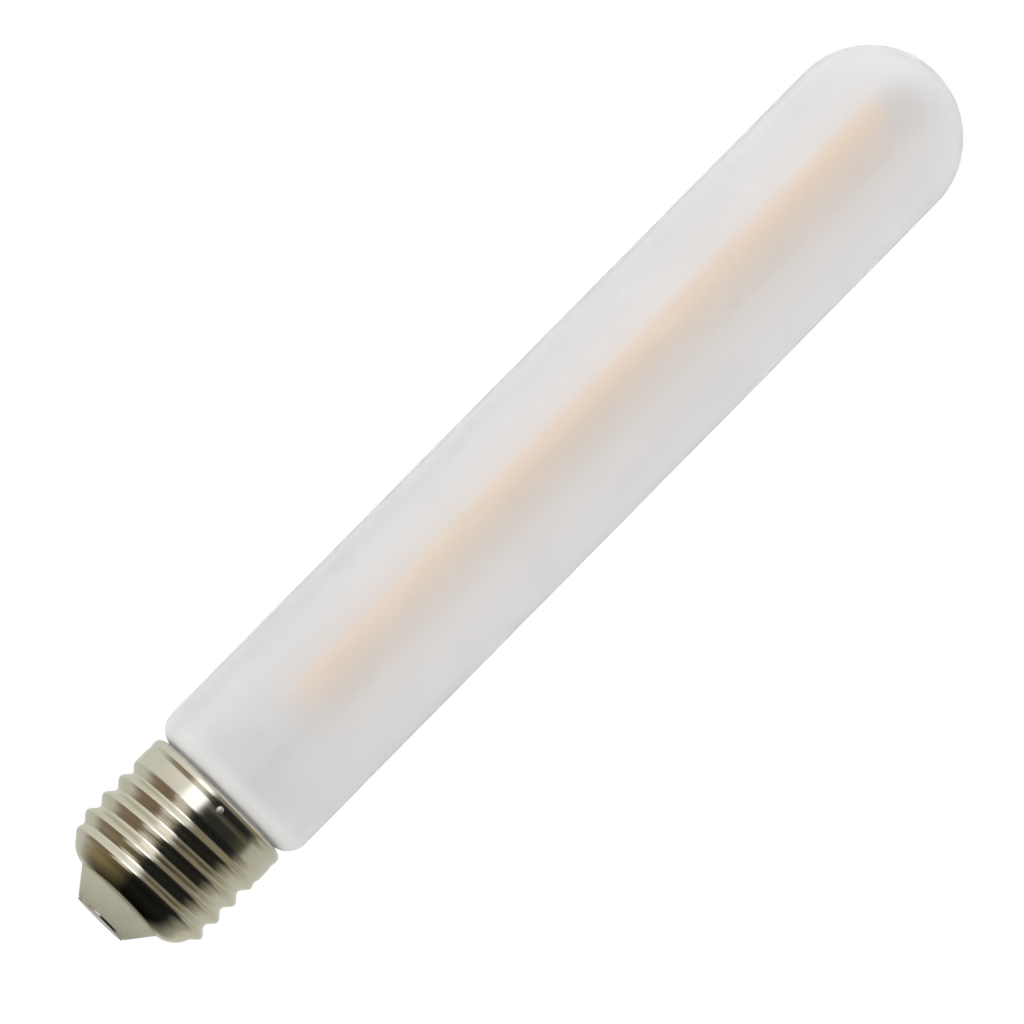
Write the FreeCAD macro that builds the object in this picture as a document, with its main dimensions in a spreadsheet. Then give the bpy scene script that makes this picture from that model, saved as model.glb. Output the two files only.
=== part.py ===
import FreeCAD, Part
import math
import os
import re
import Sketcher

# Tubular filament bulb with a medium screw cap.
# The origin is the middle of the centre contact's outer face.
# +Z runs along the bulb's axis towards the domed tip of the glass.

doc = FreeCAD.newDocument("TubularBulb")
V = FreeCAD.Vector
UP = V(0, 0, 1)

# Driving sizes in millimetres, angles in degrees
SIZES = {
    # whole bulb and glass envelope
    "overall_length": 182.3,
    "glass_dia": 28.5,
    "glass_wall": 0.9,
    "heel_radius": 3.6,
    "heel_gap": 0.25,
    "neck_fillet": 0.8,
    "neck_depth": 6.35,
    # free space left between pieces that fit round each other
    "clearance": 0.3,
    "wire_seat": 0.1,
    # rolled screw shell
    "cap_height": 26.35,
    "thread_crest_dia": 26.3,
    "thread_depth": 1.1,
    "thread_pitch": 3.629,
    "thread_phase": 14.2,
    "thread_start_angle": 119.3,
    "thread_start_drop": 2.55,
    "thread_run_in": 3.0,
    "thread_run_out": 2.2,
    "collar_step": 0.1,
    "collar_height": 4.85,
    "rim_radius": 1.2,
    "rim_groove_height": 2.0,
    "rim_groove_depth": 0.12,
    "sheet_thickness": 0.3,
    "lip_dia": 15.2,
    # insulator and centre contact
    "insulator_foot_dia": 9.8,
    "insulator_rise": 3.9,
    "insulator_ledge": 0.35,
    "insulator_flange_sweep": 32.0,
    "insulator_flange_thickness": 1.1,
    "contact_dia": 9.4,
    "contact_thickness": 0.4,
    "contact_edge": 0.12,
    "contact_shank_dia": 2.6,
    "contact_shank_length": 4.8,
    "contact_bore_depth": 4.2,
    # stem: flare, tube and press in one piece of glass
    "stem_dia": 10.4,
    "stem_wall": 1.0,
    "stem_rise": 11.2,
    "press_height": 7.5,
    "press_width": 11.2,
    "press_thickness": 4.2,
    "press_corner": 1.9,
    "press_root_width": 8.8,
    "press_root_corner": 3.6,
    "vent_dia": 1.6,
    "vent_rise": 4.0,
    "vent_outlet_dia": 1.2,
    "vent_outlet_rise": 2.9,
    "exhaust_dia": 3.6,
    "exhaust_wall": 0.6,
    "tipoff_gap": 0.6,
    "rod_dia": 2.6,
    "button_dia": 4.4,
    "button_length": 3.6,
    "button_corner": 0.7,
    # filaments, their clips and their wires
    "filament_spacing": 9.0,
    "coat_width": 3.0,
    "coat_depth": 2.0,
    "coat_corner": 0.9,
    "strip_width": 1.4,
    "strip_thickness": 0.4,
    "clip_length": 3.0,
    "clip_width": 2.0,
    "clip_depth": 1.2,
    "clip_grip": 1.5,
    "lead_dia": 0.6,
    "lead_spacing": 5.2,
    "lead_rise": 2.8,
    "lead_straight": 0.7,
    "lead_bend": 1.2,
    "bridge_rise": 1.5,
    "bridge_bend": 1.0,
    "tip_space": 5.6,
    # driver board and what is on it
    "board_width": 15.0,
    "board_thickness": 1.0,
    "board_headroom": 1.0,
    "capacitor_dia": 5.0,
    "capacitor_length": 7.0,
    "capacitor_offset": 3.4,
    "capacitor_height": 5.2,
    "capacitor_groove_height": 1.1,
    "capacitor_groove_width": 0.8,
    "capacitor_groove_radius": 0.55,
    "capacitor_edge": 0.25,
    "capacitor_pin_dia": 0.5,
    "capacitor_pin_spacing": 2.0,
    "fuse_dia": 2.4,
    "fuse_length": 5.0,
    "fuse_waist_dia": 2.0,
    "fuse_end_length": 1.0,
    "fuse_end_taper": 0.3,
    "fuse_offset": 3.7,
    "fuse_height": 1.7,
    "fuse_pin_dia": 0.5,
    "fuse_pin_reach": 0.8,
    "fuse_pin_bend": 0.8,
    "rectifier_length": 4.7,
    "rectifier_width": 3.9,
    "rectifier_height": 2.5,
    "rectifier_lead_pitch": 2.5,
    "chip_length": 4.9,
    "chip_width": 3.9,
    "chip_height": 1.5,
    "chip_lead_pitch": 1.27,
    "package_offset": 3.5,
    "package_height": 5.0,
    "package_standoff": 0.1,
    "package_chamfer": 0.2,
    "package_lead_width": 0.5,
    "package_lead_thickness": 0.2,
    "package_lead_reach": 1.0,
    "package_foot": 0.6,
    # side solder and the shell's lead
    "solder_dia": 1.3,
    "solder_dome": 0.4,
    "solder_gap": 0.025,
    "solder_drop": 2.1,
    "solder_swing": 54.7,
    "solder_shank_dia": 0.7,
    "shell_lead_dia": 0.4,
    "shell_lead_drop": 1.2,
    "shell_lead_bend": 0.5,
    "cement_thickness": 1.15,
    "cement_slot": 1.0,
}

sheet = doc.addObject("Spreadsheet::Sheet", "Sizes")
for row, (alias, value) in enumerate(SIZES.items(), start=1):
    sheet.set(f"A{row}", alias)
    sheet.set(f"B{row}", str(value))
    sheet.setAlias(f"B{row}", alias)
doc.recompute()


def size(text):
    """Turn bare size names into references to the sheet."""

    def refer(word):
        """The word, led by the sheet's name where it is a size."""
        return f"Sizes.{word.group()}" if word.group() in SIZES else word.group()

    return "(" + re.sub("[a-z_]+", refer, text) + ")"


# Places worked out from the driving sizes
ROOT_R = size("thread_crest_dia / 2 - thread_depth")
SHELL_INSIDE_R = f"({ROOT_R} - " + size("sheet_thickness") + ")"
LIP_R = size("lip_dia / 2")
LIP_Z = size("contact_thickness + insulator_rise")
SHOULDER_R = f"({ROOT_R} - {LIP_R})"
SHOULDER_Z = f"({LIP_Z} + {SHOULDER_R})"
COLLAR_R = size("thread_crest_dia / 2 - collar_step")
COLLAR_Z = size("cap_height - collar_height")
CEMENT_R = f"({COLLAR_R} - " + size("sheet_thickness + clearance") + ")"

GLASS_R = size("glass_dia / 2")
DOME_Z = size("overall_length - glass_dia / 2")
NECK_R = f"({CEMENT_R} - " + size("cement_thickness + clearance") + ")"
NECK_BORE_R = f"({NECK_R} - " + size("glass_wall") + ")"
NECK_FOOT = size("cap_height - neck_depth")
HEEL_X = size("glass_dia / 2 - heel_radius")
HEEL_Z = size("cap_height + heel_gap + heel_radius")
BEND_REACH = size("heel_radius + neck_fillet")
BEND_X = f"({NECK_R} + " + size("neck_fillet") + f" - {HEEL_X})"
BEND_Z = f"sqrt({BEND_REACH} ^ 2 - {BEND_X} ^ 2)"
FILLET_Z = f"({HEEL_Z} - {BEND_Z})"

LEDGE_R = f"({SHOULDER_R} - " + size("sheet_thickness + clearance") + ")"
FLANGE_R = f"({LIP_R} + {LEDGE_R} * " + size("sin(insulator_flange_sweep)") + ")"
FLANGE_Z = f"({SHOULDER_Z} - {LEDGE_R} * " + size("cos(insulator_flange_sweep)") + ")"
INSULATOR_TOP = f"({FLANGE_Z} + " + size("insulator_flange_thickness") + ")"
BOARD_TOP = f"({NECK_FOOT} - " + size("stem_wall + board_headroom") + ")"

STEM_CLOSURE = f"({NECK_FOOT} + " + size("stem_rise") + ")"
PRESS_TOP = f"({STEM_CLOSURE} + " + size("press_height") + ")"
FLARE_X = f"({NECK_BORE_R} - " + size("clearance") + ")"
FLARE_R = f"({FLARE_X} - " + size("stem_dia / 2") + ")"
FLARE_Z = f"({NECK_FOOT} + {FLARE_R})"

COAT_FOOT = f"({PRESS_TOP} + " + size("lead_rise + clip_length") + ")"
BRIDGE_Z = size("overall_length - tip_space")
CLIP_TOP = f"({BRIDGE_Z} - " + size("bridge_rise") + ")"
COAT_TOP = f"({CLIP_TOP} - " + size("clip_length") + ")"
STRIP_X = size("filament_spacing / 2")
SOLDER_Z = size("cap_height - solder_drop")
SOLDER_TURN = size("270 - solder_swing")


def number(expression):
    """Value of an expression of the sheet, as a plain number."""
    value = sheet.evalExpression(expression)
    return float(getattr(value, "Value", value))


def plane(body, role):
    """One of the body's own origin planes."""
    return next(feature for feature in body.Origin.OriginFeatures if feature.Role == role)


def new_body(label):
    body = doc.addObject("PartDesign::Body", label)
    body.Label = label
    return body


def new_sketch(body, name, role, offset=None):
    """Sketch on an origin plane, raised along the plane's normal by an expression."""
    sketch = body.newObject("Sketcher::SketchObject", f"{body.Name}_{name}")
    sketch.AttachmentSupport = [(plane(body, role), "")]
    sketch.MapMode = "FlatFace"
    if offset:
        sketch.setExpression("AttachmentOffset.Base.z", offset)
    return sketch


def bind(sketch, kind, geometry, expression):
    """Add one dimension and tie it to the sheet."""
    value = number(expression)
    index = sketch.addConstraint(Sketcher.Constraint(kind, *geometry, value))
    sketch.setExpression(f"Constraints[{index}]", expression)


def pin_point(sketch, geometry, end, x, y):
    """Fix a point of the sketch at x, y."""
    if x == "0":
        sketch.addConstraint(Sketcher.Constraint("PointOnObject", geometry, end, -2))
    else:
        bind(sketch, "DistanceX", (-1, 1, geometry, end), x)
    if y == "0":
        sketch.addConstraint(Sketcher.Constraint("PointOnObject", geometry, end, -1))
    else:
        bind(sketch, "DistanceY", (-1, 1, geometry, end), y)


def add_arc(sketch, start, end, radius, turn):
    """Arc from start to end that bends left (+1) or right (-1); its first and last point ids."""
    chord = end - start
    left = V(-chord.y, chord.x, 0).normalize()
    reach = math.sqrt(max(radius ** 2 - (chord.Length / 2) ** 2, 0))
    centre = (start + end) / 2 + left * reach * turn
    first, last = (start, end) if turn > 0 else (end, start)
    angles = [math.atan2(p.y - centre.y, p.x - centre.x) for p in (first, last)]
    circle = Part.Circle(centre, UP, radius)
    index = sketch.addGeometry(Part.ArcOfCircle(circle, *angles))
    return index, (1, 2) if turn > 0 else (2, 1)


def outline(sketch, steps):
    """Closed outline; each step is (x, y) for a line or (x, y, radius, turn) for an arc."""
    points = [V(number(step[0]), number(step[1]), 0) for step in steps]
    pieces = []
    for index, step in enumerate(steps):
        start, end = points[index - 1], points[index]
        if len(step) == 2:
            pieces.append((sketch.addGeometry(Part.LineSegment(start, end)), (1, 2)))
        else:
            pieces.append(add_arc(sketch, start, end, number(step[2]), step[3]))
    for index, step in enumerate(steps):
        geometry, ends = pieces[index]
        after, after_ends = pieces[(index + 1) % len(pieces)]
        joint = Sketcher.Constraint("Coincident", geometry, ends[1], after, after_ends[0])
        sketch.addConstraint(joint)
        pin_point(sketch, geometry, ends[1], step[0], step[1])
        if len(step) == 4:
            bind(sketch, "Radius", (geometry,), step[2])


def rectangle(sketch, x, y, width, height):
    """Rectangle about x, y."""
    right, left = f"({x} + {width} / 2)", f"({x} - {width} / 2)"
    top, bottom = f"({y} + {height} / 2)", f"({y} - {height} / 2)"
    outline(sketch, [(right, bottom), (right, top), (left, top), (left, bottom)])


def rounded_rectangle(sketch, width, height, corner):
    """Rectangle about the origin with rounded corners."""
    right, left = f"({width} / 2)", f"(-{width} / 2)"
    top, bottom = f"({height} / 2)", f"(-{height} / 2)"
    outline(sketch, [
        (f"({right} - {corner})", bottom),
        (right, f"({bottom} + {corner})", corner, 1),
        (right, f"({top} - {corner})"),
        (f"({right} - {corner})", top, corner, 1),
        (f"({left} + {corner})", top),
        (left, f"({top} - {corner})", corner, 1),
        (left, f"({bottom} + {corner})"),
        (f"({left} + {corner})", bottom, corner, 1),
    ])


def circle(sketch, x, y, diameter):
    """Circle about x, y."""
    centre = V(number(x), number(y), 0)
    index = sketch.addGeometry(Part.Circle(centre, UP, number(diameter) / 2))
    pin_point(sketch, index, 3, x, y)
    bind(sketch, "Diameter", (index,), diameter)


def route(sketch, corners, bend):
    """Open path: straight runs joined by tangent arcs at the inner corners."""
    points = [V(number(x), number(y), 0) for x, y in corners]
    radius = number(bend)
    cuts = [(points[0], points[0])]
    turns = [0]
    for before, corner, after in zip(points, points[1:], points[2:]):
        arrive = (corner - before).normalize()
        leave = (after - corner).normalize()
        reach = radius * math.tan(arrive.getAngle(leave) / 2)
        cuts.append((corner - arrive * reach, corner + leave * reach))
        turns.append(1 if arrive.cross(leave).z > 0 else -1)
    cuts.append((points[-1], points[-1]))
    runs = []
    for (_, start), (end, _) in zip(cuts, cuts[1:]):
        runs.append(sketch.addGeometry(Part.LineSegment(start, end)))
    pin_point(sketch, runs[0], 1, *corners[0])
    pin_point(sketch, runs[-1], 2, *corners[-1])
    for place in range(1, len(corners) - 1):
        before, after = runs[place - 1], runs[place]
        arc, ends = add_arc(sketch, *cuts[place], radius, turns[place])
        sketch.addConstraint(Sketcher.Constraint("Tangent", before, 2, arc, ends[0]))
        sketch.addConstraint(Sketcher.Constraint("Tangent", arc, ends[1], after, 1))
        bind(sketch, "Radius", (arc,), bend)
        mark = sketch.addGeometry(Part.Point(points[place]), True)
        pin_point(sketch, mark, 1, *corners[place])
        sketch.addConstraint(Sketcher.Constraint("PointOnObject", mark, 1, before))
        sketch.addConstraint(Sketcher.Constraint("PointOnObject", mark, 1, after))


def revolve(body, steps):
    """Solid of revolution about the body's Z axis from an outline in the XZ plane."""
    sketch = new_sketch(body, "profile", "XZ_Plane")
    outline(sketch, steps)
    turned = body.newObject("PartDesign::Revolution", f"{body.Name}_turned")
    turned.Profile = sketch
    turned.ReferenceAxis = (sketch, ["V_Axis"])
    turned.Angle = 360
    sketch.Visibility = False
    return turned


def pad(body, sketch, length, both_ways=False):
    feature = body.newObject("PartDesign::Pad", f"{sketch.Name}_pad")
    feature.Profile = sketch
    feature.setExpression("Length", length)
    feature.Midplane = both_ways
    return feature


def cut(body, sketch, depth, upward=False, both_ways=False):
    """Pocket that must take something away."""
    doc.recompute()
    before = body.Shape.Volume
    feature = body.newObject("PartDesign::Pocket", f"{sketch.Name}_cut")
    feature.Profile = sketch
    feature.setExpression("Length", depth)
    feature.Reversed = upward
    feature.Midplane = both_ways
    doc.recompute()
    if not body.Shape.Volume < before:
        raise RuntimeError(f"{feature.Name} takes nothing away")
    return feature


def sweep(body, corners, bend, diameter, role="XY_Plane"):
    """Round wire along a route in the XZ plane, its first end square to the given plane."""
    path = new_sketch(body, "route", "XZ_Plane")
    route(path, corners, bend)
    x, z = corners[0]
    if role == "XY_Plane":
        section = new_sketch(body, "section", role, z)
        circle(section, x, "0", diameter)
    else:
        section = new_sketch(body, "section", role, x)
        circle(section, "0", z, diameter)
    doc.recompute()
    pipe = body.newObject("PartDesign::AdditivePipe", f"{body.Name}_wire")
    pipe.Profile = section
    pipe.Spine = (path, [f"Edge{n + 1}" for n in range(len(path.Shape.Edges))])
    return pipe


def place(body, x="0", y="0", z="0", axis=UP, turn="0"):
    """Set the body's own Placement from expressions."""
    body.Placement = FreeCAD.Placement(V(0, 0, 0), FreeCAD.Rotation(axis, number(turn)))
    for name, expression in (("x", x), ("y", y), ("z", z)):
        if expression != "0":
            body.setExpression(f"Placement.Base.{name}", expression)
    if turn != "0":
        body.setExpression("Placement.Rotation.Angle", turn)


def make_envelope():
    """Blown tube with a round tip; the heel turns in and an S-bend leads down to the neck."""
    body = new_body("glass_envelope")
    wall = size("glass_wall")
    shares = {}
    for name, radius in (("outer", size("heel_radius")), ("inner", size("heel_radius - glass_wall"))):
        share = f"({radius} / {BEND_REACH})"
        shares[name] = (f"({HEEL_X} + {BEND_X} * {share})", f"({HEEL_Z} - {BEND_Z} * {share})")
    bore = f"({GLASS_R} - {wall})"
    revolve(body, [
        (NECK_BORE_R, NECK_FOOT),
        (NECK_R, NECK_FOOT),
        (NECK_R, FILLET_Z),
        (*shares["outer"], size("neck_fillet"), -1),
        (GLASS_R, HEEL_Z, size("heel_radius"), 1),
        (GLASS_R, DOME_Z),
        ("0", size("overall_length"), GLASS_R, 1),
        ("0", size("overall_length - glass_wall")),
        (bore, DOME_Z, bore, -1),
        (bore, HEEL_Z),
        (*shares["inner"], size("heel_radius - glass_wall"), -1),
        (NECK_BORE_R, FILLET_Z, size("neck_fillet + glass_wall"), 1),
    ])
    return body


def smooth_step(value):
    """0 below 0, 1 above 1, with a soft rise between."""
    value = min(max(value, 0.0), 1.0)
    return value * value * (3 - 2 * value)


def make_rolled_sheet():
    """Thin sheet rolled to a round thread that dies out in the shoulder and in the collar.

    The sheet's profile runs from the lip round the insulator, out along a round shoulder,
    up the threaded wall and the collar, past a shallow groove and in over the rim. The thread
    stands on that profile along its normal, and the inner skin lies one sheet thickness inside.
    """
    root, lip, shoulder = number(ROOT_R), number(LIP_R), number(SHOULDER_R)
    shoulder_z, collar, collar_z = number(SHOULDER_Z), number(COLLAR_R), number(COLLAR_Z)
    top, rim = SIZES["cap_height"], SIZES["rim_radius"]
    pitch, depth = SIZES["thread_pitch"], SIZES["thread_depth"]
    groove_height = SIZES["rim_groove_height"]
    groove_foot = top - rim - groove_height
    start_angle = math.radians(SIZES["thread_start_angle"])
    shoulder_end = shoulder * math.pi / 2
    wall_end = shoulder_end + top - rim - shoulder_z
    rim_end = wall_end + rim * math.pi / 2

    def relief(along, angle):
        """Height of the thread and of the grooved collar above the root."""
        z = shoulder_z + along - shoulder_end
        start = shoulder_end - SIZES["thread_start_drop"]
        run_in = smooth_step((along - start) / SIZES["thread_run_in"])
        run_out = smooth_step((z - collar_z) / SIZES["thread_run_out"] + 1)
        turn = 2 * math.pi * (z - SIZES["thread_phase"]) / pitch - (angle - start_angle)
        wave = depth * run_in * (1 - run_out) * (1 + math.cos(turn)) / 2
        share = min(max((z - groove_foot) / groove_height, 0.0), 1.0)
        groove = SIZES["rim_groove_depth"] * (1 - math.cos(2 * math.pi * share)) / 2
        return wave + (collar - root) * run_out - groove

    def point(angle, along, inward):
        """Point of the skin at an angle round the axis and a length along the profile."""
        if along < shoulder_end:
            lean = along / shoulder - math.pi / 2
            height = shoulder + relief(along, angle) - inward
            r = lip + height * math.cos(lean)
            z = shoulder_z + height * math.sin(lean)
        elif along < wall_end:
            r = root + relief(along, angle) - inward
            z = shoulder_z + along - shoulder_end
        else:
            lean = (along - wall_end) / rim
            r = collar - rim + (rim - inward) * math.cos(lean)
            z = top - rim + (rim - inward) * math.sin(lean)
        return V(r * math.cos(angle), r * math.sin(angle), z)

    # the skin is laid through this many points, and its edges are sewn across this gap
    sewing_gap = 0.001
    angle_steps = 36
    points_per_pitch = 12
    along_steps = round(rim_end / pitch * points_per_pitch)

    def poles_of(line):
        """Inner poles of a cubic curve that runs through evenly spaced points."""
        return [(here * 8 - before - after) / 6 for before, here, after in zip(line, line[1:], line[2:])]

    def skin(inward):
        """Cubic skin, closed round the axis, through points of the profile at every angle."""
        lines = []
        for k in range(-1, angle_steps + 1):
            angle = 2 * math.pi * k / angle_steps
            line = [point(angle, rim_end * n / along_steps, inward) for n in range(-2, along_steps + 3)]
            lines.append(poles_of(line))
        poles = [list(line) for line in zip(*(poles_of(ring) for ring in zip(*lines)))]
        around = list(range(angle_steps + 1))
        length = list(range(along_steps + 7))
        surface = Part.BSplineSurface()
        surface.buildFromPolesMultsKnots(
            poles, [1] * len(around), [1] * len(length), around, length, True, False, 3, 3)
        return surface.toShape()

    def end_edge(face, along):
        """The skin's closed edge at one end of the profile."""
        z = point(0, along, 0).z
        return min(face.Edges, key=lambda edge: abs(edge.BoundBox.ZMin - z) + edge.BoundBox.ZLength)

    outer, inner = skin(0.0), skin(SIZES["sheet_thickness"])
    faces = [outer, inner]
    for along in (0.0, rim_end):
        faces.append(Part.makeRuledSurface(end_edge(outer, along), end_edge(inner, along)))
    shell = Part.makeShell(faces)
    shell.sewShape(sewing_gap)
    solid = Part.makeSolid(shell)
    if solid.Volume < 0:
        solid.reverse()
    feature = doc.addObject("Part::Feature", "rolled_sheet")
    feature.Shape = solid
    feature.Placement = FreeCAD.Placement()
    return feature


def make_screw_shell():
    """The rolled sheet with the small hole where its lead comes out."""
    drill = new_body("lead_hole")
    sketch = new_sketch(drill, "hole", "YZ_Plane")
    circle(sketch, "0", SOLDER_Z, size("solder_shank_dia + 2 * wire_seat"))
    pad(drill, sketch, f"({COLLAR_R} + " + size("clearance") + ")")
    place(drill, turn=SOLDER_TURN)
    shell = doc.addObject("Part::Cut", "screw_shell")
    shell.Base = make_rolled_sheet()
    shell.Tool = drill
    return shell


def make_insulator():
    """Cone under the shell's lip, its waist through the lip and its flange above it."""
    body = new_body("insulator")
    waist = f"({LIP_R} - " + size("clearance") + ")"
    bore = size("contact_shank_dia / 2 + wire_seat")
    ledge = f"({LIP_Z} + " + size("sheet_thickness + clearance") + ")"
    foot = size("contact_thickness")
    revolve(body, [
        (bore, foot),
        (size("insulator_foot_dia / 2"), foot),
        (f"({LIP_R} + " + size("insulator_ledge") + ")", LIP_Z),
        (waist, LIP_Z),
        (waist, ledge),
        (LIP_R, ledge),
        (FLANGE_R, FLANGE_Z, LEDGE_R, 1),
        (FLANGE_R, INSULATOR_TOP),
        (bore, INSULATOR_TOP),
    ])
    return body


def make_centre_contact():
    """Flat disc with a softened edge and a hollow shank that takes the lead."""
    body = new_body("centre_contact")
    rim = size("contact_dia / 2")
    edge = size("contact_edge")
    shank = size("contact_shank_dia / 2")
    top = size("contact_thickness + contact_shank_length")
    bore = size("lead_dia / 2 + wire_seat")
    bore_end = f"({top} - " + size("contact_bore_depth") + ")"
    revolve(body, [
        ("0", "0"),
        (f"({rim} - {edge})", "0"),
        (rim, edge, edge, 1),
        (rim, size("contact_thickness")),
        (shank, size("contact_thickness")),
        (shank, top),
        (bore, top),
        (bore, bore_end),
        ("0", bore_end),
    ])
    return body


def make_contact_lead():
    """Straight wire from the board's lower edge to the bottom of the shank's bore."""
    body = new_body("contact_lead")
    foot = size("contact_thickness + contact_shank_length - contact_bore_depth")
    sketch = new_sketch(body, "section", "XY_Plane", foot)
    circle(sketch, "0", "0", size("lead_dia"))
    pad(body, sketch, f"({INSULATOR_TOP} - {foot})")
    return body


def make_basing_cement():
    """Ring between neck and collar, slotted where the shell's lead runs up."""
    body = new_body("basing_cement")
    inner = f"({CEMENT_R} - " + size("cement_thickness") + ")"
    outer = CEMENT_R
    foot = f"({COLLAR_Z} + " + size("clearance") + ")"
    head = size("cap_height - rim_radius")
    revolve(body, [(inner, foot), (outer, foot), (outer, head), (inner, head)])
    sketch = new_sketch(body, "slot", "XY_Plane", head)
    rectangle(sketch, f"({COLLAR_R} / 2)", "0", COLLAR_R, size("cement_slot"))
    cut(body, sketch, f"({head} - {foot})")
    place(body, turn=SOLDER_TURN)
    return body


def make_side_solder():
    """Domed bead on the collar with its shank through the shell's hole."""
    body = new_body("side_solder")
    # the local Z axis points outwards, and its zero is on the bulb's axis
    seat = f"({COLLAR_R} + " + size("solder_gap") + ")"
    dome_r = size("((solder_dia / 2) ^ 2 + solder_dome ^ 2) / (2 * solder_dome)")
    shank = size("solder_shank_dia / 2")
    inner = f"({COLLAR_R} - " + size("sheet_thickness + wire_seat") + ")"
    revolve(body, [
        ("0", inner),
        (shank, inner),
        (shank, seat),
        (size("solder_dia / 2"), seat),
        ("0", f"({seat} + " + size("solder_dome") + ")", dome_r, 1),
    ])
    outward = FreeCAD.Rotation(V(0, 1, 0), 90)
    turned = FreeCAD.Rotation(UP, number(SOLDER_TURN))
    body.Placement = FreeCAD.Placement(V(0, 0, number(SOLDER_Z)), turned * outward)
    body.setExpression("Placement.Base.z", SOLDER_Z)
    return body


def make_shell_lead():
    """Wire from the board out to the wall, up past the neck and out to the solder."""
    body = new_body("shell_lead")
    board_face = size("(board_thickness / 2 + clearance + shell_lead_dia / 2) / cos(solder_swing)")
    low = f"({BOARD_TOP} - " + size("shell_lead_drop") + ")"
    wall = f"(({SHELL_INSIDE_R} + {NECK_R}) / 2)"
    end = f"({COLLAR_R} - " + size("sheet_thickness + 2 * wire_seat") + ")"
    corners = [(board_face, low), (wall, low), (wall, SOLDER_Z), (end, SOLDER_Z)]
    sweep(body, corners, size("shell_lead_bend"), size("shell_lead_dia"), "YZ_Plane")
    place(body, turn=SOLDER_TURN)
    return body


def make_stem():
    """Flare sealed to the foot of the neck, tube, and the press flattened round the leads."""
    body = new_body("stem")
    wall = size("stem_wall")
    tube = size("stem_dia / 2")
    bore = size("stem_dia / 2 - stem_wall")
    foot = f"({NECK_FOOT} - {wall})"
    shoulder = f"({STEM_CLOSURE} + {wall})"
    revolve(body, [
        (FLARE_X, foot, f"({FLARE_R} + {wall})", 1),
        (NECK_R, foot),
        (NECK_R, NECK_FOOT),
        (FLARE_X, NECK_FOOT),
        (tube, FLARE_Z, FLARE_R, -1),
        (tube, shoulder),
        ("0", shoulder),
        ("0", STEM_CLOSURE),
        (bore, STEM_CLOSURE),
        (bore, FLARE_Z),
    ])
    root = new_sketch(body, "press_root", "XY_Plane", shoulder)
    root_width = size("press_root_width")
    rounded_rectangle(root, root_width, root_width, size("press_root_corner"))
    head = new_sketch(body, "press_head", "XY_Plane", PRESS_TOP)
    rounded_rectangle(head, size("press_width"), size("press_thickness"), size("press_corner"))
    press = body.newObject("PartDesign::AdditiveLoft", "stem_press")
    press.Profile = root
    press.Sections = [head]
    press.Ruled = True
    bores = new_sketch(body, "lead_bores", "XY_Plane", STEM_CLOSURE)
    for side in ("", "-"):
        circle(bores, side + size("lead_spacing / 2"), "0", size("lead_dia + 2 * wire_seat"))
    cut(body, bores, size("press_height"), upward=True)
    vent = new_sketch(body, "vent", "XY_Plane", STEM_CLOSURE)
    circle(vent, "0", "0", size("vent_dia"))
    cut(body, vent, size("vent_rise"), upward=True)
    outlet = new_sketch(body, "vent_outlet", "XZ_Plane")
    height = f"({STEM_CLOSURE} + " + size("vent_outlet_rise") + ")"
    circle(outlet, "0", height, size("vent_outlet_dia"))
    cut(body, outlet, size("press_root_width"))
    return body


def make_exhaust_tube():
    """Thin tube under the stem, melted shut at its lower end just above the board."""
    body = new_body("exhaust_tube")
    outer = size("exhaust_dia / 2")
    bore = size("exhaust_dia / 2 - exhaust_wall")
    foot = f"({BOARD_TOP} + " + size("tipoff_gap") + ")"
    outer_turn = f"({foot} + {outer})"
    revolve(body, [
        ("0", foot),
        (outer, outer_turn, outer, 1),
        (outer, STEM_CLOSURE),
        (bore, STEM_CLOSURE),
        (bore, outer_turn),
        ("0", f"({foot} + " + size("exhaust_wall") + ")", bore, -1),
    ])
    return body


def make_support_rod():
    """Glass cane on the press with a button at the top that holds the bridge wire."""
    body = new_body("support_rod")
    rod = size("rod_dia / 2")
    button = size("button_dia / 2")
    corner = size("button_corner")
    low = f"({BRIDGE_Z} - " + size("button_length / 2") + ")"
    high = f"({BRIDGE_Z} + " + size("button_length / 2") + ")"
    revolve(body, [
        ("0", PRESS_TOP),
        (rod, PRESS_TOP),
        (rod, low),
        (f"({button} - {corner})", low),
        (button, f"({low} + {corner})", corner, 1),
        (button, f"({high} - {corner})"),
        (f"({button} - {corner})", high, corner, 1),
        ("0", high),
    ])
    bore = new_sketch(body, "bore", "YZ_Plane")
    circle(bore, "0", BRIDGE_Z, size("lead_dia + 2 * wire_seat"))
    cut(body, bore, size("2 * button_dia"), both_ways=True)
    return body


def make_lead_wire(number_text, side):
    """Wire from the board's upper edge through the press, out to a filament's lower clip."""
    body = new_body(f"lead_wire_{number_text}")
    inner = side + size("lead_spacing / 2")
    outer = side + STRIP_X
    clip = f"({COAT_FOOT} - " + size("clip_length") + ")"
    straight = size("lead_straight")
    corners = [
        (inner, BOARD_TOP),
        (inner, f"({PRESS_TOP} + {straight})"),
        (outer, f"({clip} - {straight})"),
        (outer, clip),
    ]
    sweep(body, corners, size("lead_bend"), size("lead_dia"))
    return body


def make_bridge_wire():
    """Wire over the tip end: from one upper clip through the rod's button to the other."""
    body = new_body("bridge_wire")
    left = "-" + STRIP_X
    corners = [(left, CLIP_TOP), (left, BRIDGE_Z), (STRIP_X, BRIDGE_Z), (STRIP_X, CLIP_TOP)]
    sweep(body, corners, size("bridge_bend"), size("lead_dia"))
    return body


def make_substrate(name, x):
    """Bare strip that carries the light source and reaches into both clips."""
    body = new_body(f"{name}_substrate")
    foot = f"({COAT_FOOT} - " + size("clip_grip") + ")"
    sketch = new_sketch(body, "section", "XY_Plane")
    rectangle(sketch, "0", "0", size("strip_thickness"), size("strip_width"))
    pad(body, sketch, f"({COAT_TOP} - {COAT_FOOT} + 2 * " + size("clip_grip") + ")")
    place(body, x=x, z=foot)
    return body


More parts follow.
